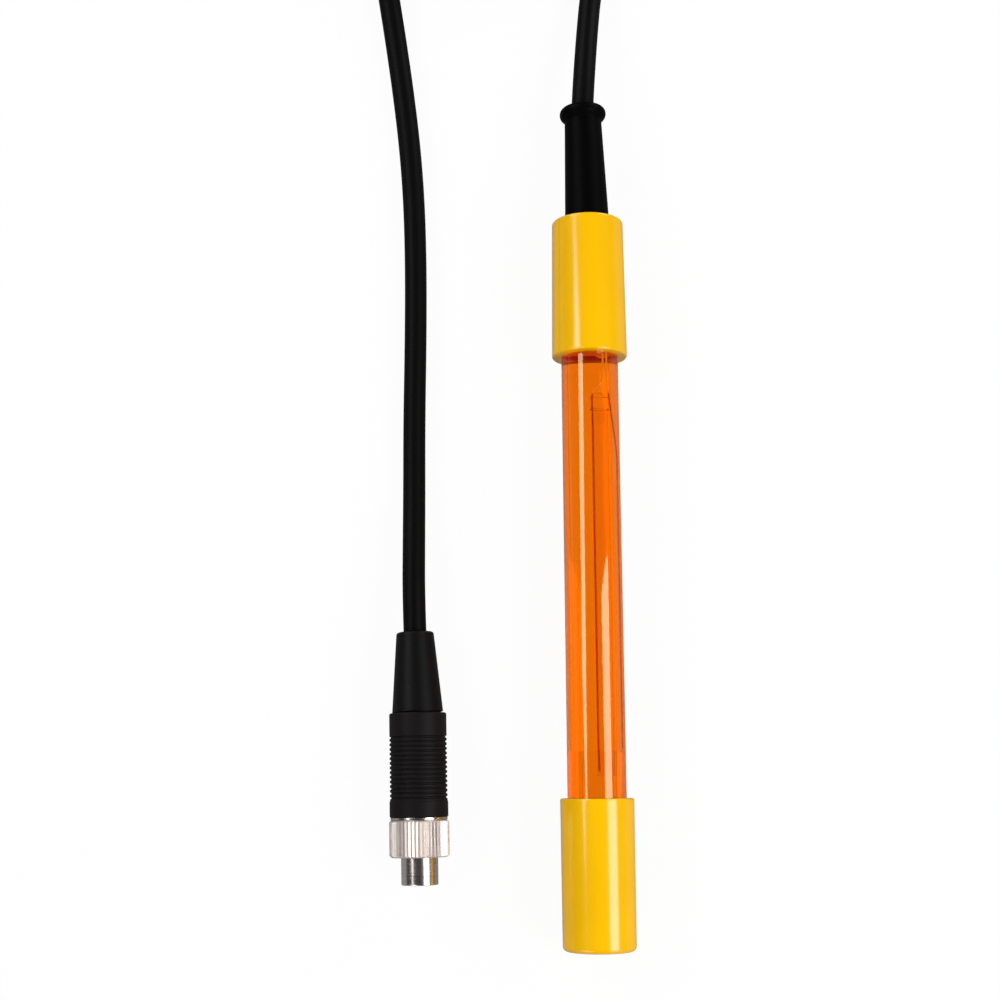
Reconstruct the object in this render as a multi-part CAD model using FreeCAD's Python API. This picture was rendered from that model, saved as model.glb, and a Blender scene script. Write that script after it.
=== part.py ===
import FreeCAD, Part
import math
import os

# A fluoride ion selective electrode that lies on a flat surface, with its lead and screw-lock plug.
# Millimetres. The electrode lies along Y with its sensing tip towards -Y, and Z is up.
# The origin is on the surface, under the middle of the electrode and its cable boot.

Vector = FreeCAD.Vector

# Fits
slip_gap = 0.03
seat_gap = 0.10
ring_running_gap = 0.05

# Body tube
tube_diameter = 12.0
tube_bore = 9.1
tube_visible_length = 92.0
tube_end_relief = 0.2

# Top cap, moulded with a little draft
top_cap_length = 30.0
top_cap_mouth_diameter = 15.9
top_cap_end_diameter = 15.2
top_cap_end_wall = 3.0
top_cap_seat_depth = 22.0
top_cap_room_diameter = 9.8
cap_shoulder_round = 0.6
cap_lip_round = 0.4

# Protective cap that pushes over the tip
protective_cap_length = 30.0
protective_cap_mouth_diameter = 15.0
protective_cap_end_diameter = 14.75
protective_cap_floor = 2.6
chamber_diameter = 10.4
chamber_depth = 6.4

# Cable boot on the top cap
boot_length = 26.2
boot_base_diameter = 9.5
boot_waist_diameter = 8.0
boot_bead_diameter = 10.05
boot_bead_length = 3.0
boot_bead_slope = 1.05
boot_neck_diameter = 6.2
boot_neck_gap = 0.1
boot_flange_diameter = 8.8
boot_flange_thickness = 1.8
boot_lean_degrees = 1.3
boot_lean_gap = 0.13

# Cable, as it is stripped inside the electrode
cord_diameter = 4.8
jacket_wall = 0.6
shield_wall = 0.35
core_diameter = 2.8
jacket_tail = 6.0
shield_tail = 8.6
core_tail = 12.6
cable_clamp_diameter = 6.4
cable_clamp_length = 1.0

# Epoxy seal at the top of the tube
seal_rise = 0.9
seal_hollow = 1.0
seal_top_room = 7.0
seal_drip_radius = 1.35
seal_drip_offset = 1.95

# Inner tube with its stopper
inner_tube_diameter = 3.0
inner_tube_bore = 2.5
inner_tube_offset = 1.4
inner_tube_drop = 11.6
stopper_head_length = 2.7
stopper_crown_diameter = 1.4
stopper_crown_length = 0.8
stopper_plug_length = 3.0

# Wires
wire_diameter = 0.3
wire_bend_radius = 2.0
wire_bend_room = 0.6
wire_first_run = 4.5
wire_gather_run = 4.0
signal_wire_reach = 4.0
reference_wire_slant = 15.5
reference_wire_rise = 0.8
wire_end_gap = 0.3

# Sleeve that holds the signal and reference wires together under the seal
sleeve_diameter = 1.5
sleeve_bore = 1.2
sleeve_offset = 2.35
sleeve_rise = 0.5
sleeve_drop = 5.2
sleeve_length = 10.0
sleeve_wire_spacing = 0.6

# Sensing tip
tip_flange_thickness = 1.2
tip_spigot_length = 29.1
tip_socket_depth = 5.0
crystal_diameter = 4.2
crystal_thickness = 1.5
crystal_seal_section = 0.7
tip_passage_diameter = 1.2
junction_diameter = 1.6
junction_length = 10.0
junction_offset = -2.9

# Plug
plug_boot_length = 16.65
plug_boot_top_diameter = 7.7
plug_boot_base_diameter = 10.5
plug_boot_root_length = 5.0
plug_boot_root_diameter = 8.4
plug_boot_lean_degrees = 1.2
plug_boot_lean_gap = 0.12
plug_boot_root_gap = 0.15
grip_length = 21.0
grip_band_diameter = 11.74
grip_band_length = 4.7
grip_rib_count = 14
grip_rib_pitch = 0.935
grip_rib_depth = 0.27
grip_collar_diameter = 11.95
grip_socket_depth = 8.8
shell_thread_diameter = 9.8
shell_wall = 0.9
shell_flange_diameter = 11.6
shell_flange_thickness = 0.55
shell_neck_diameter = 7.9
nose_diameter = 7.5
nose_wall = 0.48
nose_stand_out = 5.5
insert_recess = 3.3
insert_length = 13.0
contact_count = 4
contact_diameter = 0.9
contact_circle = 3.5
contact_stand_out = 2.0
contact_tail = 2.5
conductor_diameter = 0.7
ferrule_diameter = 6.2
ferrule_length = 3.2
plug_cable_tail = 9.5

# Coupling ring on the plug
ring_diameter = 12.2
ring_length = 7.35
ring_back_wall = 1.6
ring_bore_diameter = 9.8
ring_tooth_count = 50
ring_tooth_depth = 0.28
ring_chamfer = 0.4
clip_thickness = 0.45
clip_diameter = 9.2
clip_groove_depth = 0.4

# Where the plug lies: its boot meets its grip at this place
plug_x = -36.5
plug_y = -41.63
plug_height = 6.12
plug_yaw_degrees = 0.86

# An arc of the cord takes this share of its shorter run
share_of_run_for_arc = 0.45

# Route of the cord, by hand: out of the cable boot, down to the surface and into the coil
route_from_boot = [
    (-0.59, 89.10, 7.95),
    (-0.66, 92.20, 7.95),
    (0.00, 101.80, 6.75),
    (0.75, 110.00, 4.80),
    (1.95, 118.50, 3.20),
    (3.90, 127.30, 2.40),
    (6.60, 136.30, 2.40),
    (9.70, 145.40, 2.40),
]
# From the top of the coil, over its outer turn and down beside the electrode to the plug
route_to_plug = [
    (-48.35, 150.20, 6.60),
    (-46.80, 139.60, 7.30),
    (-45.00, 128.50, 5.60),
    (-43.30, 117.50, 3.20),
    (-41.70, 107.00, 2.40),
    (-40.05, 95.00, 2.40),
    (-38.60, 82.50, 2.40),
    (-37.65, 69.50, 2.40),
    (-37.25, 55.00, 2.40),
    (-37.27, 38.00, 2.40),
    (-37.53, 20.50, 2.40),
    (-37.48, 5.00, 2.80),
    (-37.42, -7.50, 4.90),
    (-37.38, -17.00, 6.12),
    (-37.10, -24.81, 6.12),
]

# Put-away coil: three turns on the surface and two nested on them
coil_x = -20.0
coil_y = 155.5
coil_mean_radius = 26.5

# Places along the electrode, worked out from the sizes above
overall_length = protective_cap_length + tube_visible_length + top_cap_length + boot_length
cap_end = -overall_length / 2
cap_mouth = cap_end + protective_cap_length
top_mouth = cap_mouth + tube_visible_length
top_end = top_mouth + top_cap_length
chamber_shoulder = cap_end + protective_cap_floor + chamber_depth
tip_face = chamber_shoulder + seat_gap
tube_bottom = tip_face + tip_flange_thickness
tube_top = top_mouth + top_cap_seat_depth
spigot_top = tube_bottom + tip_spigot_length
inner_tube_top = top_mouth - inner_tube_drop
inner_tube_bottom = spigot_top - tip_socket_depth
stopper_top = inner_tube_top + stopper_head_length + stopper_crown_length
sleeve_bottom = top_mouth - sleeve_drop
sleeve_top = sleeve_bottom + sleeve_length
wires_gather = sleeve_top + wire_gather_run
seal_bottom = top_mouth + seal_rise
seal_top = tube_top - seal_top_room
axis_height = top_cap_mouth_diameter / 2
signal_wire_offset = inner_tube_offset - (inner_tube_bore - wire_diameter) / 2 + slip_gap

# Places along the plug, from the joint of its boot and its grip towards its nose
flange_start = grip_length
flange_end = flange_start + shell_flange_thickness
ring_start = flange_end + ring_running_gap
ring_end = ring_start + ring_length
back_wall_end = ring_start + ring_back_wall
clip_start = back_wall_end + ring_running_gap
clip_end = clip_start + clip_thickness
nose_end = ring_end + nose_stand_out
insert_face = nose_end - insert_recess
insert_back = insert_face - insert_length
shell_start = grip_socket_depth + seat_gap


class Axis:
    """A straight line that pieces are turned about, in a level plane."""

    def __init__(self, start, along):
        self.start = start
        self.along = Vector(along).normalize()
        self.side = self.along.cross(Vector(0, 0, 1)).normalize()

    def at(self, along, side=0.0, up=0.0):
        """The place at a distance along the line, to its side and above it."""
        return self.start + self.along * along + self.side * side + Vector(0, 0, up)

    def turned(self, corners, side=0.0, up=0.0):
        """A solid of revolution from corners of (along, radius, rounding)."""
        centre = self.at(0, side, up)
        place = lambda point: centre + self.along * point.x + self.side * point.y
        face = Part.Face(outline(corners, place))
        return face.revolve(centre, self.along, 360)

    def rod(self, start, end, diameter, side=0.0, up=0.0):
        """A round bar between two distances along the line."""
        return Part.makeCylinder(diameter / 2, end - start, self.at(start, side, up), self.along)

    def tube(self, start, end, diameter, bore, side=0.0, up=0.0):
        """A round bar with a hole through it."""
        bar = self.rod(start, end, diameter, side, up)
        return bar.cut(self.rod(start, end, bore, side, up))


def outline(corners, place):
    """A closed wire with straight sides, and an arc at each corner that has a rounding."""
    points = [Vector(corner[0], corner[1], 0) for corner in corners]
    rounds = [corner[2] if len(corner) > 2 else 0.0 for corner in corners]
    arrivals, middles, departures = [], [], []
    for index, (point, rounding) in enumerate(zip(points, rounds)):
        back = (points[index - 1] - point).normalize()
        onward = (points[(index + 1) % len(points)] - point).normalize()
        half = back.getAngle(onward) / 2
        reach = rounding / math.tan(half)
        bisector = (back + onward).normalize() if rounding else Vector()
        arrivals.append(point + back * reach)
        departures.append(point + onward * reach)
        middles.append(point + bisector * (rounding / math.sin(half) - rounding))
    edges = []
    for index, rounding in enumerate(rounds):
        following = (index + 1) % len(points)
        if rounding:
            arc = (arrivals[index], middles[index], departures[index])
            edges.append(Part.Arc(*[place(point) for point in arc]).toShape())
        side = (departures[index], arrivals[following])
        if side[0].distanceToPoint(side[1]) > 1e-6:
            edges.append(Part.LineSegment(*[place(point) for point in side]).toShape())
    return Part.Wire(edges)


def bent_path(points, radius=None):
    """Straight runs joined by tangent arcs, with the arcs' radii and the length of the path.

    With no radius given, each arc is as large as its two runs allow.
    """
    corners = [Vector(*point) for point in points]
    edges, radii = [], []
    length = 0.0
    leave = corners[0]
    for before, corner, after in zip(corners, corners[1:], corners[2:]):
        back = (before - corner).normalize()
        onward = (after - corner).normalize()
        half_turn = (math.pi - back.getAngle(onward)) / 2
        shorter = min(before.distanceToPoint(corner), after.distanceToPoint(corner))
        bend = radius or share_of_run_for_arc * shorter / math.tan(half_turn)
        reach = bend * math.tan(half_turn)
        arrive = corner + back * reach
        depart = corner + onward * reach
        inward = (back + onward).normalize()
        middle = corner + inward * (bend / math.cos(half_turn) - bend)
        edges.append(Part.LineSegment(leave, arrive).toShape())
        edges.append(Part.Arc(arrive, middle, depart).toShape())
        length += leave.distanceToPoint(arrive) + 2 * half_turn * bend
        radii.append(bend)
        leave = depart
    edges.append(Part.LineSegment(leave, corners[-1]).toShape())
    length += leave.distanceToPoint(corners[-1])
    return Part.Wire(edges), radii, length


def swept(points, diameter, radius=None):
    """A round bar along a bent path."""
    path, _, _ = bent_path(points, radius)
    start = Vector(*points[0])
    heading = Vector(*points[1]) - start
    section = Part.Wire([Part.Circle(start, heading, diameter / 2).toShape()])
    return path.makePipeShell([section], True, False)


electrode = Axis(Vector(0, 0, axis_height), Vector(0, 1, 0))

lean = math.radians(boot_lean_degrees)
cable = Axis(electrode.at(top_end), Vector(-math.sin(lean), math.cos(lean), 0))

yaw = math.radians(plug_yaw_degrees)
plug = Axis(Vector(plug_x, plug_y, plug_height), Vector(math.sin(yaw), -math.cos(yaw), 0))

plug_boot_turn = math.radians(plug_yaw_degrees + plug_boot_lean_degrees)
plug_cable = Axis(
    Vector(plug_x, plug_y, plug_height),
    Vector(math.sin(plug_boot_turn), -math.cos(plug_boot_turn), 0),
)


def top_cap():
    """Moulded cap that closes the tube's top: a blind cup with a hole for the boot's neck."""
    mouth = top_cap_mouth_diameter / 2
    end = top_cap_end_diameter / 2
    seat = tube_diameter / 2 - tube_end_relief + slip_gap
    room = top_cap_room_diameter / 2
    hole = boot_neck_diameter / 2 + boot_neck_gap
    room_end = top_end - top_cap_end_wall
    return electrode.turned([
        (top_mouth, seat, 0.3),
        (top_mouth, mouth, cap_lip_round),
        (top_end, end, cap_shoulder_round),
        (top_end, hole, 0.3),
        (room_end, hole),
        (room_end, room),
        (tube_top + seat_gap, room),
        (tube_top + seat_gap, seat),
    ])


def protective_cap():
    """Push-on cap with a closed end, a shoulder that stops the tip and a moist chamber beyond it."""
    mouth = protective_cap_mouth_diameter / 2
    end = protective_cap_end_diameter / 2
    seat = tube_diameter / 2 - tube_end_relief + slip_gap
    chamber = chamber_diameter / 2
    floor = cap_end + protective_cap_floor
    return electrode.turned([
        (cap_end, 0),
        (cap_end, end, 1.0),
        (cap_mouth, mouth, cap_lip_round),
        (cap_mouth, seat, 0.3),
        (chamber_shoulder, seat),
        (chamber_shoulder, chamber, 0.3),
        (floor, chamber, 1.2),
        (floor, 0),
    ])


def body_tube():
    """Clear amber tube, a little smaller where the two caps go over it."""
    full = tube_diameter / 2
    relieved = full - tube_end_relief
    bore = tube_bore / 2
    return electrode.turned([
        (tube_bottom, bore),
        (tube_bottom, relieved),
        (cap_mouth, relieved),
        (cap_mouth, full),
        (top_mouth, full),
        (top_mouth, relieved),
        (tube_top, relieved),
        (tube_top, bore),
    ])


def signal_wire():
    """Wire from the cable's core through the sleeve, then down the inner tube's left wall."""
    core_end = cable.at(-core_tail)
    in_sleeve = sleeve_offset - sleeve_wire_spacing / 2
    return swept([
        core_end,
        electrode.at(core_end.y - wire_first_run, core_end.x),
        electrode.at(wires_gather, in_sleeve, sleeve_rise),
        electrode.at(sleeve_bottom - wire_bend_room, in_sleeve, sleeve_rise),
        electrode.at(stopper_top + wire_bend_room, signal_wire_offset),
        electrode.at(spigot_top - signal_wire_reach, signal_wire_offset),
    ], wire_diameter, wire_bend_radius)


def reference_wire():
    """Wire from the cable's shield through the sleeve, then slanting out to the tube's wall."""
    start = cable.at(-shield_tail, side=(core_diameter + wire_diameter) / 2 + seat_gap)
    in_sleeve = sleeve_offset + sleeve_wire_spacing / 2
    reach = (tube_bore - wire_diameter) / 2 - seat_gap
    wall_side = math.sqrt(reach**2 - reference_wire_rise**2)
    slant_end = sleeve_bottom - wire_bend_room - reference_wire_slant
    return swept([
        start,
        electrode.at(start.y - wire_first_run, start.x),
        electrode.at(wires_gather, in_sleeve, sleeve_rise),
        electrode.at(sleeve_bottom - wire_bend_room, in_sleeve, sleeve_rise),
        electrode.at(slant_end, wall_side, reference_wire_rise),
        electrode.at(spigot_top + wire_end_gap, wall_side, reference_wire_rise),
    ], wire_diameter, wire_bend_radius)


def wire_sleeve():
    """Clear sleeve over the signal and reference wires, cast into the seal at its top."""
    return electrode.tube(
        sleeve_bottom, sleeve_top, sleeve_diameter, sleeve_bore, sleeve_offset, sleeve_rise
    )


def epoxy_seal():
    """Cast seal in the tube's top, with a hollow lower face and a drip round the sleeve."""
    radius = tube_bore / 2 - slip_gap
    plug_of_epoxy = electrode.turned([
        (seal_bottom + seal_hollow, 0),
        (seal_bottom + seal_hollow, radius * 0.7, 2.0),
        (seal_bottom, radius),
        (seal_top, radius),
        (seal_top, 0),
    ])
    drip_end = electrode.at(seal_bottom, side=seal_drip_offset)
    drip = Part.makeSphere(seal_drip_radius, drip_end)
    neck = electrode.rod(
        seal_bottom, seal_bottom + 2 * seal_hollow, 2 * seal_drip_radius, seal_drip_offset
    )
    sleeve_room = electrode.rod(
        sleeve_bottom, sleeve_top, sleeve_diameter, sleeve_offset, sleeve_rise
    )
    whole = plug_of_epoxy.fuse([drip, neck]).removeSplitter()
    return whole.cut([signal_wire(), reference_wire(), sleeve_room])


def inner_tube():
    """Narrow tube for the crystal's filling solution, off the middle of the bore."""
    return electrode.tube(
        inner_tube_bottom, inner_tube_top, inner_tube_diameter, inner_tube_bore, inner_tube_offset
    )


def inner_tube_stopper():
    """Stopper in the inner tube's top, with a crown and a passage for the wire beside it."""
    plug_end = inner_tube_top - stopper_plug_length
    head_end = inner_tube_top + stopper_head_length
    crown = stopper_crown_diameter / 2
    stopper = electrode.turned([
        (plug_end, 0),
        (plug_end, inner_tube_bore / 2 - slip_gap, 0.2),
        (inner_tube_top, inner_tube_bore / 2 - slip_gap),
        (inner_tube_top, inner_tube_diameter / 2),
        (head_end, inner_tube_diameter / 2, 0.2),
        (head_end, crown),
        (stopper_top, crown, 0.2),
        (stopper_top, 0),
    ], side=inner_tube_offset)
    passage = electrode.rod(
        plug_end, head_end, wire_diameter + 2 * slip_gap, signal_wire_offset
    )
    return stopper.cut(passage)


def tip_holder():
    """Long cast end piece: spigot in the tube's bore, flange on its end, seats for what it carries."""
    spigot = tube_bore / 2 - slip_gap
    flange = tube_diameter / 2 - tube_end_relief
    crystal_seat = tip_face + crystal_thickness + crystal_seal_section
    body = electrode.turned([
        (tip_face, 0),
        (tip_face, flange, 0.5),
        (tube_bottom, flange),
        (tube_bottom, spigot),
        (spigot_top, spigot, 0.4),
        (spigot_top, 0),
    ])
    inner_tube_seat = electrode.rod(
        inner_tube_bottom, spigot_top, inner_tube_diameter + 2 * slip_gap, inner_tube_offset
    )
    crystal_pocket = electrode.rod(
        tip_face, crystal_seat, crystal_diameter + 2 * slip_gap, inner_tube_offset
    )
    passage = electrode.rod(tip_face, spigot_top, tip_passage_diameter, inner_tube_offset)
    junction_hole = electrode.rod(
        tip_face, spigot_top, junction_diameter + 2 * slip_gap, junction_offset
    )
    return body.cut([inner_tube_seat, crystal_pocket, passage, junction_hole])


def fluoride_crystal():
    """Polished single crystal that looks out of the tip's face."""
    edge = crystal_diameter / 2
    return electrode.turned([
        (tip_face, 0),
        (tip_face, edge, 0.15),
        (tip_face + crystal_thickness, edge),
        (tip_face + crystal_thickness, 0),
    ], side=inner_tube_offset)


def crystal_seal():
    """Rubber ring between the crystal and its seat."""
    ring_radius = (crystal_diameter - crystal_seal_section) / 2 - slip_gap
    centre = tip_face + crystal_thickness + crystal_seal_section / 2
    return Part.makeTorus(
        ring_radius,
        crystal_seal_section / 2,
        electrode.at(centre, side=inner_tube_offset),
        electrode.along,
    )


def reference_junction():
    """Porous pin that lets the reference gel meet the sample."""
    return electrode.rod(tip_face, tip_face + junction_length, junction_diameter, junction_offset)


def cable_boot():
    """Tapered rubber boot with a rounded bead at its mouth and a flange inside the cap."""
    hole = cord_diameter / 2 + slip_gap
    base = boot_base_diameter / 2
    waist = boot_waist_diameter / 2
    bead = boot_bead_diameter / 2
    neck = boot_neck_diameter / 2
    flange = boot_flange_diameter / 2
    bead_start = boot_length - boot_bead_length
    bead_full = bead_start + boot_bead_slope
    wall_inside = -top_cap_end_wall - boot_lean_gap
    return cable.turned([
        (wall_inside - boot_flange_thickness, hole),
        (wall_inside - boot_flange_thickness, flange, 0.4),
        (wall_inside, flange, 0.2),
        (wall_inside, neck),
        (boot_lean_gap, neck),
        (boot_lean_gap, base, 0.3),
        (bead_start, waist, 0.5),
        (bead_full, bead, 1.5),
        (boot_length, bead, 1.25),
        (boot_length, hole, 0.3),
    ])


def cable_jacket_end():
    """The cord's jacket inside the boot, cut off in the room above the tube."""
    return cable.tube(-jacket_tail, boot_length, cord_diameter, cord_diameter - 2 * jacket_wall)


def cable_shield():
    """Braided shield, stripped longer than the jacket."""
    outside = cord_diameter - 2 * jacket_wall - slip_gap
    return cable.tube(-shield_tail, boot_length, outside, outside - 2 * shield_wall)


def cable_core():
    """Insulated conductor in the middle of the cable."""
    return cable.rod(-core_tail, boot_length, core_diameter)


def cable_clamp():
    """Crimped ring on the jacket, under the boot's flange, that takes the pull of the cord."""
    top = -top_cap_end_wall - boot_lean_gap - boot_flange_thickness - slip_gap
    bore = cord_diameter + 2 * slip_gap
    return cable.tube(top - cable_clamp_length, top, cable_clamp_diameter, bore)


def plug_boot():
    """Tapered rubber boot of the plug, with a root that sits in the grip's socket."""
    hole = cord_diameter / 2 + slip_gap
    return plug_cable.turned([
        (-plug_boot_length, hole, 0.2),
        (-plug_boot_length, plug_boot_top_diameter / 2, 0.6),
        (-plug_boot_lean_gap, plug_boot_base_diameter / 2, 0.2),
        (-plug_boot_lean_gap, plug_boot_root_diameter / 2),
        (plug_boot_root_length, plug_boot_root_diameter / 2, 0.4),
        (plug_boot_root_length, hole),
    ])


def plug_grip():
    """Moulded grip: a smooth band, a row of rounded ribs and a collar, hollow for the shell."""
    band = grip_band_diameter / 2
    collar = grip_collar_diameter / 2
    socket = plug_boot_root_diameter / 2 + plug_boot_root_gap
    bore = shell_thread_diameter / 2 + slip_gap
    ribs_end = grip_band_length + grip_rib_count * grip_rib_pitch
    corners = [(0, socket), (0, band, 0.35)]
    for rib in range(grip_rib_count):
        start = grip_band_length + rib * grip_rib_pitch
        groove = band - grip_rib_depth
        corners += [
            (start, band, 0.12),
            (start + grip_rib_pitch * 0.18, groove),
            (start + grip_rib_pitch * 0.38, groove),
            (start + grip_rib_pitch * 0.56, band, 0.12),
        ]
    corners += [
        (ribs_end, band),
        (ribs_end, collar, 0.15),
        (grip_length, collar, 0.25),
        (grip_length, bore),
        (grip_socket_depth, bore),
        (grip_socket_depth, socket),
    ]
    return plug.turned(corners)


def plug_shell():
    """Turned metal shell: threaded body in the grip, flange, neck for the ring, and the nose."""
    thread = shell_thread_diameter / 2
    flange = shell_flange_diameter / 2
    neck = shell_neck_diameter / 2
    nose = nose_diameter / 2
    bore = nose - nose_wall
    groove = neck - clip_groove_depth
    step = insert_back - seat_gap
    return plug.turned([
        (shell_start, thread - shell_wall),
        (shell_start, thread),
        (flange_start, thread),
        (flange_start, flange, 0.1),
        (flange_end, flange, 0.1),
        (flange_end, neck),
        (clip_start, neck),
        (clip_start, groove),
        (clip_end, groove),
        (clip_end, nose),
        (nose_end, nose, 0.2),
        (nose_end, bore, 0.2),
        (step, bore),
        (step, thread - shell_wall),
    ])


def contact_places():
    """Side and height of each contact about the plug's axis."""
    places = []
    for index in range(contact_count):
        angle = 2 * math.pi * (index + 0.5) / contact_count
        places.append((math.cos(angle), math.sin(angle)))
    return places


def plug_insert():
    """Insulating disc that holds the contacts."""
    radius = nose_diameter / 2 - nose_wall - slip_gap
    body = plug.turned([
        (insert_back, 0),
        (insert_back, radius),
        (insert_face, radius, 0.2),
        (insert_face, 0),
    ])
    holes = [
        plug.rod(
            insert_back,
            insert_face,
            contact_diameter + 2 * slip_gap,
            side * contact_circle / 2,
            up * contact_circle / 2,
        )
        for side, up in contact_places()
    ]
    return body.cut(holes)


def contact_pins():
    """Round contacts with rounded ends, held in the insert."""
    radius = contact_diameter / 2
    pins = [
        plug.turned([
            (insert_back - contact_tail, 0),
            (insert_back - contact_tail, radius),
            (insert_face + contact_stand_out, radius, radius * 0.6),
            (insert_face + contact_stand_out, 0),
        ], side * contact_circle / 2, up * contact_circle / 2)
        for side, up in contact_places()
    ]
    return Part.makeCompound(pins)


def plug_conductors():
    """Short insulated conductors from the end of the cable to the contacts' tails."""
    wires = []
    start_circle = (cord_diameter - 2 * jacket_wall - conductor_diameter) / 2 - slip_gap
    for side, up in contact_places():
        start = plug.at(plug_cable_tail + seat_gap, side * start_circle, up * start_circle)
        reach = contact_circle / 2
        end = plug.at(insert_back - contact_tail - seat_gap, side * reach, up * reach)
        along = end - start
        wires.append(Part.makeCylinder(conductor_diameter / 2, along.Length, start, along))
    return Part.makeCompound(wires)


def plug_cable_end():
    """The cord inside the plug's boot, cut square inside the grip."""
    return plug_cable.rod(-plug_boot_length, plug_cable_tail, cord_diameter)


def crimp_ferrule():
    """Metal sleeve crimped on the cord behind the shell."""
    start = plug_boot_root_length + seat_gap
    bore = cord_diameter + 2 * slip_gap
    return plug_cable.tube(start, start + ferrule_length, ferrule_diameter, bore)


def ring_clip():
    """Split-ring clip in the shell's groove that keeps the coupling ring on."""
    bore = shell_neck_diameter - 2 * clip_groove_depth + 2 * slip_gap
    return plug.tube(clip_start + slip_gap, clip_end - slip_gap, clip_diameter, bore)


def coupling_ring():
    """Knurled nut that turns on the shell's neck: straight teeth, chamfered at both ends."""
    outside = ring_diameter / 2
    hole = shell_neck_diameter / 2 + ring_running_gap
    bore = ring_bore_diameter / 2
    blank = plug.turned([
        (ring_start, hole),
        (ring_start, outside - ring_chamfer),
        (ring_start + ring_chamfer, outside + slip_gap),
        (ring_end - ring_chamfer, outside + slip_gap),
        (ring_end, outside - ring_chamfer),
        (ring_end, bore, 0.3),
        (back_wall_end, bore),
        (back_wall_end, hole),
    ])
    rim = []
    for index in range(2 * ring_tooth_count):
        angle = math.pi * index / ring_tooth_count
        radius = outside - ring_tooth_depth * (index % 2)
        rim.append(plug.at(ring_start, radius * math.cos(angle), radius * math.sin(angle)))
    star = Part.Face(Part.makePolygon(rim + rim[:1]))
    return blank.common(star.extrude(plug.along * ring_length))


def cord_from_boot():
    return swept(route_from_boot, cord_diameter)


def cord_to_plug():
    return swept(route_to_plug, cord_diameter)


def cord_coil():
    """Outer shape of the wound turns: a flat ring with sloping, rounded sides."""
    radius = cord_diameter / 2
    height = cord_diameter * (1 + math.sin(math.radians(60)))
    slope = math.tan(math.radians(30))
    foot = cord_diameter + radius / slope
    shoulder = foot - height * slope
    place = lambda point: Vector(coil_x + point.x, coil_y, point.y)
    section = outline([
        (coil_mean_radius - foot, 0, radius),
        (coil_mean_radius + foot, 0, radius),
        (coil_mean_radius + shoulder, height, radius),
        (coil_mean_radius - shoulder, height, radius),
    ], place)
    return Part.Face(section).revolve(Vector(coil_x, coil_y, 0), Vector(0, 0, 1), 360)


pieces = [
    top_cap,
    protective_cap,
    body_tube,
    epoxy_seal,
    inner_tube,
    inner_tube_stopper,
    wire_sleeve,
    signal_wire,
    reference_wire,
    tip_holder,
    fluoride_crystal,
    crystal_seal,
    reference_junction,
    cable_boot,
    cable_jacket_end,
    cable_shield,
    cable_core,
    cable_clamp,
    plug_boot,
    plug_grip,
    plug_shell,
    plug_insert,
    contact_pins,
    plug_conductors,
    plug_cable_end,
    crimp_ferrule,
    ring_clip,
    coupling_ring,
    cord_from_boot,
    cord_coil,
    cord_to_plug,
]

os.makedirs("parts", exist_ok=True)
for piece in pieces:
    shape = piece()
    shape.exportStep(f"parts/{piece.__name__}.step")
    print(f"{piece.__name__}: {len(shape.Solids)} solid, {shape.Volume:.1f} mm3, valid {shape.isValid()}")

for name, route in (("from boot", route_from_boot), ("to plug", route_to_plug)):
    _, radii, length = bent_path(route)
    section = math.pi * cord_diameter**2 / 4
    print(f"cord {name}: {length:.1f} mm, radii {[round(radius) for radius in radii]}")
    print(f"  section times length {section * length:.1f} mm3, swept {swept(route, cord_diameter).Volume:.1f}")
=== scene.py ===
import math

import bmesh
import bpy
from bpy.props import FloatProperty, FloatVectorProperty, PointerProperty
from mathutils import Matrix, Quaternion, Vector


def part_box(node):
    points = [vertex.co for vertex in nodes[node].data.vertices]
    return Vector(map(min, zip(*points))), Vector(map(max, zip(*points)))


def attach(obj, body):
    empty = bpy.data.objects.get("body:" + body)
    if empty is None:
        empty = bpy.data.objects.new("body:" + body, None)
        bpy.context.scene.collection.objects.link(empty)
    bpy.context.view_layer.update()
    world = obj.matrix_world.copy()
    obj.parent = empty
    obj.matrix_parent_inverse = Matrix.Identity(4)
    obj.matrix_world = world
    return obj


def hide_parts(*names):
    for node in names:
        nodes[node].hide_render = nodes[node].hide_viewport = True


# A fluoride ion selective electrode on a white table, with its lead and screw-lock plug.
# Metres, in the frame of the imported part: Y along the electrode, tip at -Y, Z up.

bl_info = {
    "name": "Fluoride electrode",
    "version": (1, 0, 0),
    "blender": (4, 5, 0),
    "location": "View3D > Sidebar > Electrode",
    "description": "Gives a fluoride electrode its clear tube, lead, finishes and stage",
    "category": "Object",
}

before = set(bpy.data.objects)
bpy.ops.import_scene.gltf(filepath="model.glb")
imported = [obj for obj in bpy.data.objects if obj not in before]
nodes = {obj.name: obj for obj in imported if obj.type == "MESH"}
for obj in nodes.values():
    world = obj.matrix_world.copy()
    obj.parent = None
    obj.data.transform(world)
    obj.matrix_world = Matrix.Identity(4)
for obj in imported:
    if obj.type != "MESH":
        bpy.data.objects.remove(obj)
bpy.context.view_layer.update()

mm = 0.001

# The cord's points in mm: out of the cable boot, down to the table and into the coil
route_from_boot = [
    (-0.59, 89.10, 7.95),
    (-0.45, 92.20, 7.95),
    (0.30, 101.80, 6.75),
    (1.05, 110.00, 4.80),
    (1.95, 118.50, 3.20),
    (3.90, 127.30, 2.40),
    (6.60, 136.30, 2.40),
]
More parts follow.
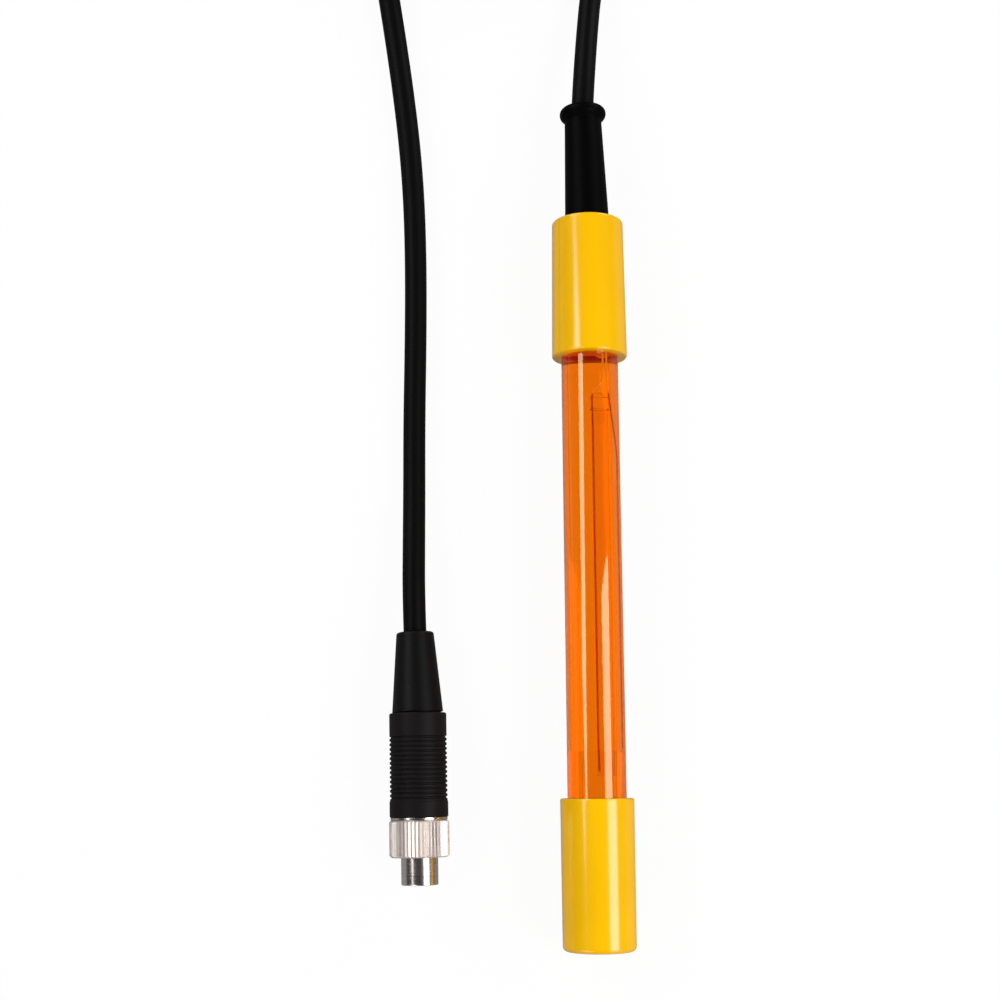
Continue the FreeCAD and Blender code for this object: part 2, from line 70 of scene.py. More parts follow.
# From the top of the coil down beside the electrode to the plug
route_to_plug = [
    (-48.35, 150.20, 6.60),
    (-46.80, 139.60, 7.30),
    (-45.00, 128.50, 5.60),
    (-43.30, 117.50, 3.20),
    (-41.70, 107.00, 2.40),
    (-40.05, 95.00, 2.40),
    (-38.60, 82.50, 2.40),
    (-37.65, 69.50, 2.40),
    (-37.25, 55.00, 2.40),
    (-37.27, 38.00, 2.40),
    (-37.53, 20.50, 2.40),
    (-37.48, 5.00, 2.80),
    (-37.42, -7.50, 4.90),
    (-37.38, -17.00, 6.12),
    (-37.10, -24.81, 6.12),
]
coil_centre = (-20.0, 155.5)
# Where the turns lie: angle in degrees, radius, height
coil_turns = [
    (-18, 30.9, 2.40),
    (297, 30.9, 2.40),
    (357, 26.2, 2.40),
    (642, 26.2, 2.40),
    (702, 21.5, 2.40),
    (957, 21.5, 2.40),
    (1017, 23.9, 6.56),
    (1287, 23.9, 6.56),
    (1347, 28.6, 6.56),
    (1617, 28.6, 6.56),
]

# Refractive indices. The tubing's and the sleeving's are matched to how faintly they show.
gel_ior = 1.34
polyetherimide_ior = 1.66
tubing_ior = 1.41
sleeving_ior = 1.355

# A noise texture's values lie mostly between these
noise_low, noise_high = 0.3, 0.7

# Sockets of a Mix node for colours: the second colour's share, both colours, and the result
mix_share, mix_first, mix_second, mix_result = 0, 6, 7, 2


def linear(hex_colour):
    """The linear red, green and blue of an sRGB colour such as #FFCC00."""
    parts = [int(hex_colour[i:i + 2], 16) / 255 for i in (1, 3, 5)]
    return [part / 12.92 if part <= 0.04045 else ((part + 0.055) / 1.055) ** 2.4 for part in parts]


def rgba(colour):
    """A colour with the opacity that a socket wants."""
    return (*colour, 1.0)


def add_node(tree, kind, inputs=None, stops=(), **settings):
    """Adds a node with its settings, sets or links its inputs, and places a ramp's two stops."""
    node = tree.nodes.new(kind)
    for name, value in settings.items():
        setattr(node, name, value)
    for name, value in (inputs or {}).items():
        if isinstance(value, bpy.types.NodeSocket):
            tree.links.new(value, node.inputs[name])
        else:
            node.inputs[name].default_value = value
    for index, (position, colour) in enumerate(stops):
        stop = node.color_ramp.elements[index]
        stop.position = position
        stop.color = rgba(colour)
    return node


def new_material(name):
    """An empty node material, and its tree."""
    material = bpy.data.materials.new(name)
    material.use_nodes = True
    material.node_tree.nodes.clear()
    return material, material.node_tree


def dress(material, *names):
    """Gives CAD nodes a material."""
    for name in names:
        mesh = nodes[name].data
        mesh.materials.clear()
        mesh.materials.append(material)


def add_object(name, data):
    """A new object in the scene."""
    thing = bpy.data.objects.new(name, data)
    bpy.context.scene.collection.objects.link(thing)
    return thing


def spun(name, row, centre, axis, steps, closed=False):
    """The smooth mesh that a row of corners makes in one full turn about an axis."""
    build = bmesh.new()
    corners = [build.verts.new(corner) for corner in row]
    ends = corners[1:] + corners[:1] if closed else corners[1:]
    sides = [build.edges.new(pair) for pair in zip(corners, ends)]
    bmesh.ops.spin(
        build, geom=corners + sides, cent=centre, axis=axis,
        angle=math.tau, steps=steps, use_merge=True,
    )
    # A corner on the axis comes once for each step, and one is kept
    bmesh.ops.remove_doubles(build, verts=build.verts, dist=0.001 * mm)
    bmesh.ops.recalc_face_normals(build, faces=build.faces)
    mesh = bpy.data.meshes.new(name)
    build.to_mesh(mesh)
    build.free()
    mesh.shade_smooth()
    return mesh


class ElectrodeSizes(bpy.types.PropertyGroup):
    tube_diameter: FloatProperty(
        name="Tube diameter", description="Outside diameter of the clear body tube",
        default=12.0 * mm, min=0.0, precision=4, unit="LENGTH",
    )
    tube_bore: FloatProperty(
        name="Tube bore", description="Inside diameter of the clear body tube",
        default=9.1 * mm, min=0.0, precision=4, unit="LENGTH",
    )
    tube_end_relief: FloatProperty(
        name="Tube end relief", description="How far the tube steps in under each cap",
        default=0.2 * mm, min=0.0, precision=5, unit="LENGTH",
    )
    cord_diameter: FloatProperty(
        name="Cord diameter", description="Outside diameter of the lead",
        default=4.8 * mm, min=0.0, precision=4, unit="LENGTH",
    )
    cord_length: FloatProperty(
        name="Cord length", description="Length of the lead from the cable boot to the plug",
        default=1.0, min=0.0, unit="LENGTH",
    )


class ElectrodeColours(bpy.types.PropertyGroup):
    caps: FloatVectorProperty(
        name="Caps", description="Colour of the two moulded caps",
        subtype="COLOR", min=0.0, max=1.0, default=linear("#FFC202"),
    )
    tube: FloatVectorProperty(
        name="Tube", description="Tint of the clear body tube",
        subtype="COLOR", min=0.0, max=1.0, default=linear("#FFB127"),
    )
    castings: FloatVectorProperty(
        name="Tip casting", description="Tint of the clear casting that holds the sensing parts",
        subtype="COLOR", min=0.0, max=1.0, default=linear("#FFE9A0"),
    )
    cable_boot: FloatVectorProperty(
        name="Cable boot", description="Colour of the boot at the electrode's top",
        subtype="COLOR", min=0.0, max=1.0, default=linear("#030303"),
    )
    cord: FloatVectorProperty(
        name="Cord", description="Colour of the cord and the plug's boot",
        subtype="COLOR", min=0.0, max=1.0, default=linear("#060606"),
    )
    grip: FloatVectorProperty(
        name="Plug grip", description="Colour of the plug's moulded grip",
        subtype="COLOR", min=0.0, max=1.0, default=linear("#161314"),
    )
    nose: FloatVectorProperty(
        name="Plug nose", description="Colour of the bright nickel on the plug's shell",
        subtype="COLOR", min=0.0, max=1.0, default=linear("#DCD1CB"),
    )
    ring: FloatVectorProperty(
        name="Coupling ring", description="Colour of the satin nickel on the coupling ring",
        subtype="COLOR", min=0.0, max=1.0, default=linear("#E6DCD6"),
    )
    table: FloatVectorProperty(
        name="Table", description="Colour of the table and its low rim",
        subtype="COLOR", min=0.0, max=1.0, default=linear("#F8F8F8"),
    )


def moulded_abs(name, colour):
    """Injection-moulded ABS from a polished mould.

    A clean, glossy colour. The skin is a little wavy, which breaks up the edges of reflections,
    and the colour is a touch uneven where the melt flowed.
    """
    material, tree = new_material(name)
    place = add_node(tree, "ShaderNodeTexCoord")
    # Flow of the melt, some 9 mm across
    flow = add_node(tree, "ShaderNodeTexNoise", {
        "Vector": place.outputs["Object"], "Scale": 1 / (9 * mm), "Detail": 2.0,
    })
    shade = add_node(tree, "ShaderNodeMapRange", {
        "Value": flow.outputs["Fac"], "From Min": noise_low, "From Max": noise_high,
        "To Min": 0.97, "To Max": 1.02,
    })
    tint = add_node(tree, "ShaderNodeHueSaturation", {
        "Color": rgba(colour), "Value": shade.outputs["Result"],
    })
    # Waves of the moulded skin: 1.6 mm from crest to crest, 1.2 microns high
    skin = add_node(tree, "ShaderNodeTexNoise", {
        "Vector": place.outputs["Object"], "Scale": 1 / (1.6 * mm), "Detail": 1.0,
    })
    bump = add_node(tree, "ShaderNodeBump", {
        "Height": skin.outputs["Fac"], "Distance": 0.0012 * mm,
    })
    surface = add_node(tree, "ShaderNodeBsdfPrincipled", {
        "Base Color": tint.outputs["Color"], "Roughness": 0.16, "IOR": 1.54,
        "Normal": bump.outputs["Normal"],
    })
    add_node(tree, "ShaderNodeOutputMaterial", {"Surface": surface.outputs["BSDF"]})
    return material


def polished_clear(name, colour, ior, roughness):
    """Drawn clear plastic or a cut crystal, with a polished skin.

    Light goes through it and is tinted at each face. A face that meets the gel bends light by the
    ratio of the two indices, which is then its ior, and it hardly reflects.
    """
    material, tree = new_material(name)
    place = add_node(tree, "ShaderNodeTexCoord")
    # Faint waves left by drawing and polishing, 3 mm apart and under a micron high
    stretch = add_node(tree, "ShaderNodeMapping", {
        "Vector": place.outputs["Object"], "Scale": (1.0, 0.25, 1.0),
    })
    waves = add_node(tree, "ShaderNodeTexNoise", {
        "Vector": stretch.outputs["Vector"], "Scale": 1 / (3 * mm), "Detail": 1.0,
    })
    bump = add_node(tree, "ShaderNodeBump", {
        "Height": waves.outputs["Fac"], "Distance": 0.0008 * mm,
    })
    surface = add_node(tree, "ShaderNodeBsdfPrincipled", {
        "Base Color": rgba(colour), "Roughness": roughness, "IOR": ior,
        "Transmission Weight": 1.0, "Specular Tint": rgba(linear("#FFFAD2")),
        "Normal": bump.outputs["Normal"],
    })
    add_node(tree, "ShaderNodeOutputMaterial", {"Surface": surface.outputs["BSDF"]})
    return material


def cast_resin(name, colour, gel_above):
    """Clear cast epoxy, polished where it stands in the open.

    Up in the gel it all but disappears, and in the open it is amber with a bright skin.
    """
    material, tree = new_material(name)
    place = add_node(tree, "ShaderNodeTexCoord")
    along = add_node(tree, "ShaderNodeSeparateXYZ", {"Vector": place.outputs["Object"]})
    # The gel starts within 0.4 mm
    gel = add_node(tree, "ShaderNodeMapRange", {
        "Value": along.outputs["Y"],
        "From Min": gel_above - 0.2 * mm, "From Max": gel_above + 0.2 * mm,
    })
    tint = add_node(tree, "ShaderNodeMix", {
        mix_share: gel.outputs["Result"],
        mix_first: rgba(colour), mix_second: rgba(linear("#FFFAEC")),
    }, data_type="RGBA")
    skin = add_node(tree, "ShaderNodeMath", {
        0: 1.0, 1: gel.outputs["Result"],
    }, operation="SUBTRACT")
    # Swirls left by casting, 4 mm across and a micron high
    swirls = add_node(tree, "ShaderNodeTexNoise", {
        "Vector": place.outputs["Object"], "Scale": 1 / (4 * mm), "Detail": 1.0,
    })
    bump = add_node(tree, "ShaderNodeBump", {
        "Height": swirls.outputs["Fac"], "Distance": 0.001 * mm,
    })
    # The body bends light little more than the gel does, and the coat is the open skin
    surface = add_node(tree, "ShaderNodeBsdfPrincipled", {
        "Base Color": tint.outputs[mix_result], "Roughness": 0.0, "IOR": 1.06,
        "Transmission Weight": 1.0, "Coat Weight": skin.outputs["Value"], "Coat IOR": 1.56,
        "Coat Roughness": 0.03, "Normal": bump.outputs["Normal"],
    })
    add_node(tree, "ShaderNodeOutputMaterial", {"Surface": surface.outputs["BSDF"]})
    return material


def dull_skin(name, colour, gloss=0.12):
    """Soft PVC, nitrile rubber or polythene, moulded or extruded, or unglazed ceramic.

    Dull: its filler or pores scatter most of the shine, and a fine grain breaks up the rest.
    """
    material, tree = new_material(name)
    place = add_node(tree, "ShaderNodeTexCoord")
    # Grain of the skin, really under 0.1 mm and drawn at 0.3 mm so that it shows
    grain = add_node(tree, "ShaderNodeTexNoise", {
        "Vector": place.outputs["Object"], "Scale": 1 / (0.3 * mm), "Detail": 3.0,
    })
    dullness = add_node(tree, "ShaderNodeMapRange", {
        "Value": grain.outputs["Fac"], "From Min": noise_low, "From Max": noise_high,
        "To Min": 0.42, "To Max": 0.55,
    })
    bump = add_node(tree, "ShaderNodeBump", {
        "Height": grain.outputs["Fac"], "Distance": 0.006 * mm,
    })
    surface = add_node(tree, "ShaderNodeBsdfPrincipled", {
        "Base Color": rgba(colour), "Roughness": dullness.outputs["Result"], "IOR": 1.52,
        "Specular IOR Level": gloss, "Normal": bump.outputs["Normal"],
    })
    add_node(tree, "ShaderNodeOutputMaterial", {"Surface": surface.outputs["BSDF"]})
    return material


def moulded_nylon(name, colour):
    """Moulded nylon from a spark-eroded mould.

    Black with a fine even grain that leaves only a faint, wide shine.
    """
    material, tree = new_material(name)
    place = add_node(tree, "ShaderNodeTexCoord")
    # Spark-eroded grain of 0.15 mm
    grain = add_node(tree, "ShaderNodeTexVoronoi", {
        "Vector": place.outputs["Object"], "Scale": 1 / (0.15 * mm),
    })
    bump = add_node(tree, "ShaderNodeBump", {
        "Height": grain.outputs["Distance"], "Distance": 0.004 * mm,
    })
    surface = add_node(tree, "ShaderNodeBsdfPrincipled", {
        "Base Color": rgba(colour), "Roughness": 0.5, "IOR": 1.53,
        "Specular IOR Level": 0.08, "Normal": bump.outputs["Normal"],
    })
    add_node(tree, "ShaderNodeOutputMaterial", {"Surface": surface.outputs["BSDF"]})
    return material


def worked_metal(name, colour, roughness, line_pitch):
    """Turned, drawn or rolled metal, bare or plated, with fine lines from its tool.

    The lines stretch each reflection a little along the piece.
    """
    material, tree = new_material(name)
    place = add_node(tree, "ShaderNodeTexCoord")
    # Tool marks run round the plug, so they change along Y
    along = add_node(tree, "ShaderNodeMapping", {
        "Vector": place.outputs["Object"], "Scale": (0.02, 1.0, 0.02),
    })
    marks = add_node(tree, "ShaderNodeTexNoise", {
        "Vector": along.outputs["Vector"], "Scale": 1 / line_pitch, "Detail": 2.0,
    })
    dullness = add_node(tree, "ShaderNodeMapRange", {
        "Value": marks.outputs["Fac"], "From Min": noise_low, "From Max": noise_high,
        "To Min": roughness * 0.7, "To Max": roughness * 1.3,
    })
    bump = add_node(tree, "ShaderNodeBump", {
        "Height": marks.outputs["Fac"], "Distance": 0.002 * mm,
    })
    surface = add_node(tree, "ShaderNodeBsdfPrincipled", {
        "Base Color": rgba(colour), "Metallic": 1.0, "Roughness": dullness.outputs["Result"],
        "Normal": bump.outputs["Normal"],
    })
    add_node(tree, "ShaderNodeOutputMaterial", {"Surface": surface.outputs["BSDF"]})
    return material


def silver_wire(name, coated_below):
    """Drawn silver wire with an anodised silver chloride coat on its lower part.

    Bright above, where it has a painted glow, and a dull, pale red brown below, which the amber
    tube darkens.
    """
    material, tree = new_material(name)
    place = add_node(tree, "ShaderNodeTexCoord")
    along = add_node(tree, "ShaderNodeSeparateXYZ", {"Vector": place.outputs["Object"]})
    # Grain of the coat, really a few microns and drawn at 0.2 mm
    grain = add_node(tree, "ShaderNodeTexNoise", {
        "Vector": place.outputs["Object"], "Scale": 1 / (0.2 * mm), "Detail": 2.0,
    })
    # The coat ends within 0.4 mm
    bare = add_node(tree, "ShaderNodeMapRange", {
        "Value": along.outputs["Y"],
        "From Min": coated_below - 0.2 * mm, "From Max": coated_below + 0.2 * mm,
    })
    coat = add_node(tree, "ShaderNodeValToRGB", {"Fac": grain.outputs["Fac"]}, stops=(
        (0.35, linear("#EE9662")), (0.65, linear("#FAAC78")),
    ))
    colour = add_node(tree, "ShaderNodeMix", {
        mix_share: bare.outputs["Result"],
        mix_first: coat.outputs["Color"], mix_second: rgba(linear("#FCF8F0")),
    }, data_type="RGBA")
    dullness = add_node(tree, "ShaderNodeMapRange", {
        "Value": bare.outputs["Result"], "To Min": 0.7, "To Max": 0.5,
    })
    metal = add_node(tree, "ShaderNodeMath", {
        0: bare.outputs["Result"], 1: 0.2,
    }, operation="MULTIPLY")
    # Painted glow: the bare part gives off a pale amber light of its own, in place of the light
    # that the clear tube would lead in round it
    painted_glow = add_node(tree, "ShaderNodeMix", {
        mix_share: bare.outputs["Result"],
        mix_first: (0, 0, 0, 1), mix_second: rgba(linear("#FFC8A0")),
    }, data_type="RGBA")
    surface = add_node(tree, "ShaderNodeBsdfPrincipled", {
        "Base Color": colour.outputs[mix_result], "Metallic": metal.outputs["Value"],
        "Roughness": dullness.outputs["Result"],
        "Emission Color": painted_glow.outputs[mix_result], "Emission Strength": 0.35,
    })
    add_node(tree, "ShaderNodeOutputMaterial", {"Surface": surface.outputs["BSDF"]})
    return material


def filled_epoxy(name, colour, end, mouth):
    """Cast epoxy with a little filler, seen through the tube at the cap's mouth.

    Nearly clear at its end and a deeper amber up in the cap, which is painted shade under the
    cap's mouth, and a painted glow darkens the same way.
    """
    material, tree = new_material(name)
    place = add_node(tree, "ShaderNodeTexCoord")
    # Swirls left by mixing, 3 mm across
    swirls = add_node(tree, "ShaderNodeTexNoise", {
        "Vector": place.outputs["Object"], "Scale": 1 / (3 * mm), "Detail": 2.0,
    })
    shade = add_node(tree, "ShaderNodeMapRange", {
        "Value": swirls.outputs["Fac"], "From Min": noise_low, "From Max": noise_high,
        "To Min": 0.9, "To Max": 1.05,
    })
    tint = add_node(tree, "ShaderNodeHueSaturation", {
        "Color": rgba(colour), "Value": shade.outputs["Result"],
    })
    along = add_node(tree, "ShaderNodeSeparateXYZ", {"Vector": place.outputs["Object"]})
    # Painted shade: the resin darkens from its end up to the cap's mouth, as if the cap shaded it
    shade_towards_mouth = add_node(tree, "ShaderNodeMapRange", {
        "Value": along.outputs["Y"], "From Min": end, "From Max": mouth,
    })
    amber = add_node(tree, "ShaderNodeMix", {
        mix_share: shade_towards_mouth.outputs["Result"],
        mix_first: rgba(linear("#FFE9C8")), mix_second: tint.outputs["Color"],
    }, data_type="RGBA")
    # Painted glow: the resin gives off light of its own, pale at its end and a darker orange up in
    # the cap, in place of the light that the clear tube would lead into it
    painted_glow = add_node(tree, "ShaderNodeMix", {
        mix_share: shade_towards_mouth.outputs["Result"],
        mix_first: rgba(linear("#FFD8A0")), mix_second: rgba(linear("#E08048")),
    }, data_type="RGBA")
    # The IOR is that of epoxy against the gel
    surface = add_node(tree, "ShaderNodeBsdfPrincipled", {
        "Base Color": amber.outputs[mix_result], "Roughness": 0.3, "IOR": 1.16,
        "Transmission Weight": 0.35,
        "Emission Color": painted_glow.outputs[mix_result], "Emission Strength": 0.25,
    })
    add_node(tree, "ShaderNodeOutputMaterial", {"Surface": surface.outputs["BSDF"]})
    return material


def painted_board(name, colour):
    """Board with a matt white paint.

    The eye and clear pieces see it mostly as plain white, and the rest of it stays lit, so that it
    keeps the object's shadow. Gloss sees it dimly, as it sees the table round a subject that only
    soft boxes light.
    """
    material, tree = new_material(name)
    # How much of what each kind of ray meets is plain white
    white_to_eye, white_through, white_in_gloss = 0.95, 0.7, 0.1
    ray = add_node(tree, "ShaderNodeLightPath")
    seen = add_node(tree, "ShaderNodeMath", {
        0: ray.outputs["Is Camera Ray"], 1: ray.outputs["Is Transmission Ray"],
    }, operation="MAXIMUM")
    # To all other rays it is grey, so that it throws less light back on the object
    paint = add_node(tree, "ShaderNodeMix", {
        mix_share: seen.outputs["Value"],
        mix_first: rgba(linear("#8C8C8C")), mix_second: rgba(colour),
    }, data_type="RGBA")
    board = add_node(tree, "ShaderNodeBsdfDiffuse", {"Color": paint.outputs[mix_result]})
    white = add_node(tree, "ShaderNodeEmission", {"Color": (1, 1, 1, 1), "Strength": 1.0})
    through = add_node(tree, "ShaderNodeMath", {
        0: ray.outputs["Is Transmission Ray"], 1: white_through,
    }, operation="MULTIPLY")
    mirrored = add_node(tree, "ShaderNodeMath", {
        0: ray.outputs["Is Glossy Ray"], 1: white_in_gloss, 2: through.outputs["Value"],
    }, operation="MULTIPLY_ADD")
    share = add_node(tree, "ShaderNodeMath", {
        0: ray.outputs["Is Camera Ray"], 1: white_to_eye, 2: mirrored.outputs["Value"],
    }, operation="MULTIPLY_ADD")
    surface = add_node(tree, "ShaderNodeMixShader", {
        0: share.outputs["Value"], 1: board.outputs["BSDF"], 2: white.outputs["Emission"],
    })
    add_node(tree, "ShaderNodeOutputMaterial", {"Surface": surface.outputs["Shader"]})
    return material


class ELECTRODE_OT_stage(bpy.types.Operator):
    """Lays out the table, the lamps and the camera"""

    bl_idname = "electrode.stage"
    bl_label = "Stage"

    def execute(self, context):
        context.scene.view_settings.view_transform = "Standard"
        self.camera(context)
        self.table(context)
        self.lamps()
        self.room(context)
        return {"FINISHED"}

    def camera(self, context):
        """The camera looks down on the table, from as far and as steeply as in the photograph."""
        distance, steepness, lean = 335, math.radians(80), math.radians(-0.42)
        lens = bpy.data.cameras.new("camera")
        lens.lens = 57.6
        lens.sensor_width = 36.0
        camera = add_object("camera", lens)
        target = Vector((-19.25, 2.42, 7.95)) * mm
        back = Vector((0, -math.cos(steepness), math.sin(steepness)))
        camera.location = target + back * distance * mm
        camera.rotation_mode = "QUATERNION"
        roll = Quaternion((0, 0, 1), lean)
        camera.rotation_quaternion = (-back).to_track_quat("-Z", "Y") @ roll
        context.scene.camera = camera

    def table(self, context):
        """A round white table with a low coved rim."""
        # Distance from the middle and height, in metres
        section = [
            (0.0, 0.0), (0.6, 0.0), (1.6, 0.0), (2.6, 0.0), (2.85, 0.04), (2.97, 0.15), (3.0, 0.5),
        ]
        row = [(radius, 0, height) for radius, height in section]
        table = add_object("table", spun("table", row, (0, 0, 0), (0, 0, 1), 72))
        colour = context.scene.electrode_colours.table
        table.data.materials.append(painted_board("matt_painted_board", colour))

    def lamps(self):
        """A small soft box to the left, a wide one to the right, and a fill beyond each corner."""
        target = Vector((0, 0, 8)) * mm
        # Place and size in mm, turn in degrees, watts. A fill has no turn and aims at the target.
        for name, place, size, turn, watts in (
            ("left_softbox", (-590, 135, 600), (316, 420), -31, 2.5),
            ("right_softbox", (666, -259, 600), (620, 728), 8, 8.5),
            ("far_left_fill", (-650, 800, 500), (700, 500), None, 5.5),
            ("near_left_fill", (-650, -800, 500), (700, 500), None, 3.3),
            ("far_right_fill", (500, 620, 270), (400, 300), None, 2.1),
            ("near_right_fill", (500, -620, 270), (400, 300), None, 0.9),
        ):
            lamp = bpy.data.lights.new(name, "AREA")
            lamp.shape = "RECTANGLE"
            lamp.size, lamp.size_y = [side * mm for side in size]
            lamp.energy = watts
            holder = add_object(name, lamp)
            holder.location = Vector(place) * mm
            if turn is None:
                aim = (target - holder.location).to_track_quat("-Z", "Y")
                holder.rotation_euler = aim.to_euler()
            else:
                holder.rotation_euler = (0, 0, math.radians(turn))

    def room(self, context):
        """A dim, even room."""
        world = bpy.data.worlds.new("room")
        world.use_nodes = True
        tree = world.node_tree
        tree.nodes.clear()
        light = add_node(tree, "ShaderNodeBackground", {"Color": rgba(linear("#3A3A3C"))})
        add_node(tree, "ShaderNodeOutputWorld", {"Surface": light.outputs["Background"]})
        context.scene.world = world


class ELECTRODE_OT_cord(bpy.types.Operator):
    """Lays the lead from the cable boot through its coil to the plug"""

    bl_idname = "electrode.cord"
    bl_label = "Cord"

    def execute(self, context):
        sizes = context.scene.electrode_sizes
        points = route_from_boot + self.turns() + route_to_plug
        line = bpy.data.curves.new("cord", "CURVE")
        line.dimensions = "3D"
        line.bevel_depth = 1.0  # each point's radius is then in metres
        line.bevel_resolution = 8
        line.use_fill_caps = True
        line.resolution_u = 10
        spline = line.splines.new("NURBS")
        spline.points.add(len(points) - 1)
        for point, (x, y, z) in zip(spline.points, points):
            point.co = (x * mm, y * mm, z * mm, 1.0)
            point.radius = sizes.cord_diameter / 2
        spline.order_u = 3
        spline.use_endpoint_u = True
        cord = add_object("cord", line)
        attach(cord, "electrode")
        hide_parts("cord_from_boot", "cord_coil", "cord_to_plug")
        colour = context.scene.electrode_colours.cord
        line.materials.append(dull_skin("extruded_soft_pvc", colour, 0.06))
        return {"FINISHED"}

    def turns(self):
        """Points of the coil, every 15 degrees, a little outside the turns that they draw."""
        step = 15
        # The spline passes this share of the way out to its points
        drawn = 0.75 + 0.25 * math.cos(math.radians(step))
        points = []
        for angle in range(coil_turns[0][0], coil_turns[-1][0] + 1, step):
            for before, after in zip(coil_turns, coil_turns[1:]):
                if before[0] <= angle <= after[0]:
                    share = (angle - before[0]) / (after[0] - before[0])
                    radius = before[1] + share * (after[1] - before[1])
                    height = before[2] + share * (after[2] - before[2])
            turn = math.radians(angle)
            points.append((
                coil_centre[0] + radius / drawn * math.cos(turn),
                coil_centre[1] + radius / drawn * math.sin(turn),
                height,
            ))
        return points


class ELECTRODE_OT_tube(bpy.types.Operator):
    """Makes the clear amber body tube"""

    bl_idname = "electrode.tube"
    bl_label = "Body tube"

    def execute(self, context):
        sizes = context.scene.electrode_sizes
        low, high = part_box("body_tube")
        axis_height = (low.z + high.z) / 2
        cap_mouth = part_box("protective_cap")[1].y
        top_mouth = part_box("top_cap")[0].y
        outside, bore = sizes.tube_diameter / 2, sizes.tube_bore / 2
        relieved = outside - sizes.tube_end_relief
        row = [(radius, along, axis_height) for along, radius in (
            (low.y, bore),
            (low.y, relieved),
            (cap_mouth, relieved),
            (cap_mouth, outside),
            (top_mouth, outside),
            (top_mouth, relieved),
            (high.y, relieved),
            (high.y, bore),
        )]
        name = "clear_body_tube"
        mesh = spun(name, row, (0, 0, axis_height), (0, 1, 0), 160, closed=True)
        mesh.set_sharp_from_angle(angle=math.radians(30))
        tube = add_object(name, mesh)
        colour = context.scene.electrode_colours.tube
        for finish, ior, roughness in (
            ("polished_polyetherimide", polyetherimide_ior, 0.03),
            ("polyetherimide_on_gel", polyetherimide_ior / gel_ior, 0.0),
        ):
            mesh.materials.append(polished_clear(finish, colour, ior, roughness))
        # Only the bore's faces are as near to the axis as this, and they meet the gel
        near = bore * 1.01
        for face in mesh.polygons:
            reach = math.hypot(face.center.x, face.center.z - axis_height)
            face.material_index = int(reach < near)
        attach(tube, "electrode")
        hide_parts("body_tube")
        return {"FINISHED"}


class ELECTRODE_OT_caps(bpy.types.Operator):
    """Finishes the two yellow caps"""

    bl_idname = "electrode.caps"
    bl_label = "Caps"

    def execute(self, context):
        yellow = context.scene.electrode_colours.caps
        dress(moulded_abs("moulded_yellow_abs", yellow), "top_cap", "protective_cap")
        return {"FINISHED"}


class ELECTRODE_OT_inside(bpy.types.Operator):
    """Finishes the resin, the inner tube and the wires inside the body tube"""

    bl_idname = "electrode.inside"
    bl_label = "Inside of the tube"

    def execute(self, context):
        amber = context.scene.electrode_colours.castings
        seal_end, cap_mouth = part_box("epoxy_seal")[0].y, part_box("top_cap")[0].y
        gel_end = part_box("body_tube")[0].y
        stopper_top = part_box("inner_tube_stopper")[1].y
        tubing = polished_clear(
            "drawn_clear_tubing", linear("#FFF6EA"), tubing_ior / gel_ior, 0.0)
        sleeving = polished_clear(
            "clear_sleeving", linear("#FFFDFA"), sleeving_ior / gel_ior, 0.15)
        dress(filled_epoxy("cast_filled_epoxy", linear("#D8A078"), seal_end, cap_mouth),
              "epoxy_seal")
        dress(cast_resin("cast_clear_epoxy", amber, gel_end), "tip_holder")
        dress(tubing, "inner_tube", "inner_tube_stopper")
        dress(sleeving, "wire_sleeve")
        dress(silver_wire("drawn_silver_wire", stopper_top), "signal_wire", "reference_wire")
        return {"FINISHED"}


class ELECTRODE_OT_tip(bpy.types.Operator):
    """Finishes the crystal, its seal and the reference junction"""

    bl_idname = "electrode.tip"
    bl_label = "Sensing tip"

    def execute(self, context):
        dress(polished_clear("polished_crystal", linear("#F2F7F7"), 1.6, 0.02),
              "fluoride_crystal")
        dress(dull_skin("nitrile_rubber", linear("#101010"), 0.3), "crystal_seal")
        dress(dull_skin("porous_ceramic", linear("#E9E4DA"), 0.3), "reference_junction")
        return {"FINISHED"}


class ELECTRODE_OT_boots(bpy.types.Operator):
    """Finishes the two soft boots and the cable ends inside them"""

    bl_idname = "electrode.boots"
    bl_label = "Boots and cable ends"

    def execute(self, context):
        colours = context.scene.electrode_colours
        dress(dull_skin("moulded_soft_pvc", colours.cable_boot, 0.03), "cable_boot")
        dress(dull_skin("moulded_plug_boot_pvc", colours.cord), "plug_boot")
        dress(dull_skin("extruded_jacket_end", colours.cord), "cable_jacket_end", "plug_cable_end")
        dress(dull_skin("polythene_insulation", linear("#E6E6E0"), 0.4),
              "cable_core", "plug_conductors")
        dress(worked_metal("tinned_copper_braid", linear("#BDBDBA"), 0.35, 0.3 * mm),
              "cable_shield")
        dress(worked_metal("crimped_tin_plate", linear("#C4C4C2"), 0.3, 0.3 * mm),
              "cable_clamp", "crimp_ferrule")
        return {"FINISHED"}


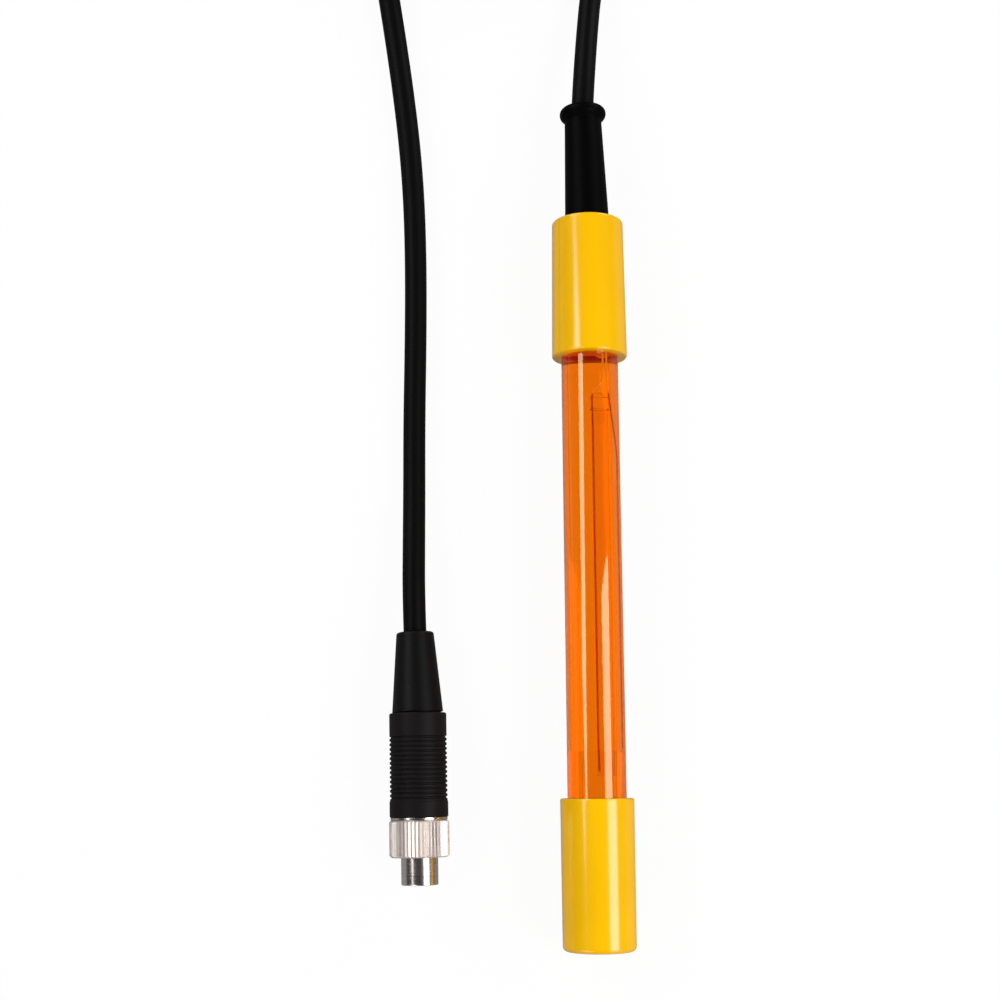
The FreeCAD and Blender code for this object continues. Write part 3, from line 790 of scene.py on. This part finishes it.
class ELECTRODE_OT_plug(bpy.types.Operator):
    """Finishes the plug's grip, metal, insert and contacts"""

    bl_idname = "electrode.plug"
    bl_label = "Plug"

    def execute(self, context):
        colours = context.scene.electrode_colours
        dress(moulded_nylon("moulded_black_nylon", colours.grip), "plug_grip")
        dress(moulded_nylon("moulded_insulator", linear("#1B1B1D")), "plug_insert")
        dress(worked_metal("bright_nickel_plate", colours.nose, 0.22, 0.25 * mm), "plug_shell")
        dress(worked_metal("satin_nickel_plate", colours.ring, 0.48, 0.25 * mm), "coupling_ring")
        dress(worked_metal("spring_steel", linear("#8E8E8E"), 0.25, 0.2 * mm), "ring_clip")
        dress(worked_metal("gilt_turned_brass", linear("#E6C06A"), 0.12, 0.1 * mm),
              "contact_pins")
        return {"FINISHED"}


class ELECTRODE_PT_panel(bpy.types.Panel):
    """Lists the electrode's sizes, colours and pieces"""

    bl_idname = "ELECTRODE_PT_panel"
    bl_label = "Electrode"
    bl_space_type = "VIEW_3D"
    bl_region_type = "UI"
    bl_category = "Electrode"

    def draw(self, context):
        for group in (context.scene.electrode_sizes, context.scene.electrode_colours):
            box = self.layout.box()
            for name in group.__annotations__:
                box.prop(group, name)
        for operator in operators:
            self.layout.operator(operator.bl_idname)


operators = (
    ELECTRODE_OT_stage,
    ELECTRODE_OT_cord,
    ELECTRODE_OT_tube,
    ELECTRODE_OT_caps,
    ELECTRODE_OT_inside,
    ELECTRODE_OT_tip,
    ELECTRODE_OT_boots,
    ELECTRODE_OT_plug,
)
classes = (ElectrodeSizes, ElectrodeColours, *operators, ELECTRODE_PT_panel)


def register():
    for kind in classes:
        bpy.utils.register_class(kind)
    bpy.types.Scene.electrode_sizes = PointerProperty(type=ElectrodeSizes)
    bpy.types.Scene.electrode_colours = PointerProperty(type=ElectrodeColours)


def unregister():
    del bpy.types.Scene.electrode_colours
    del bpy.types.Scene.electrode_sizes
    for kind in reversed(classes):
        bpy.utils.unregister_class(kind)


def main():
    register()
    bpy.ops.electrode.stage()
    bpy.ops.electrode.cord()
    bpy.ops.electrode.tube()
    bpy.ops.electrode.caps()
    bpy.ops.electrode.inside()
    bpy.ops.electrode.tip()
    bpy.ops.electrode.boots()
    bpy.ops.electrode.plug()
    bpy.context.view_layer.update()


if __name__ == "__main__":
    main()
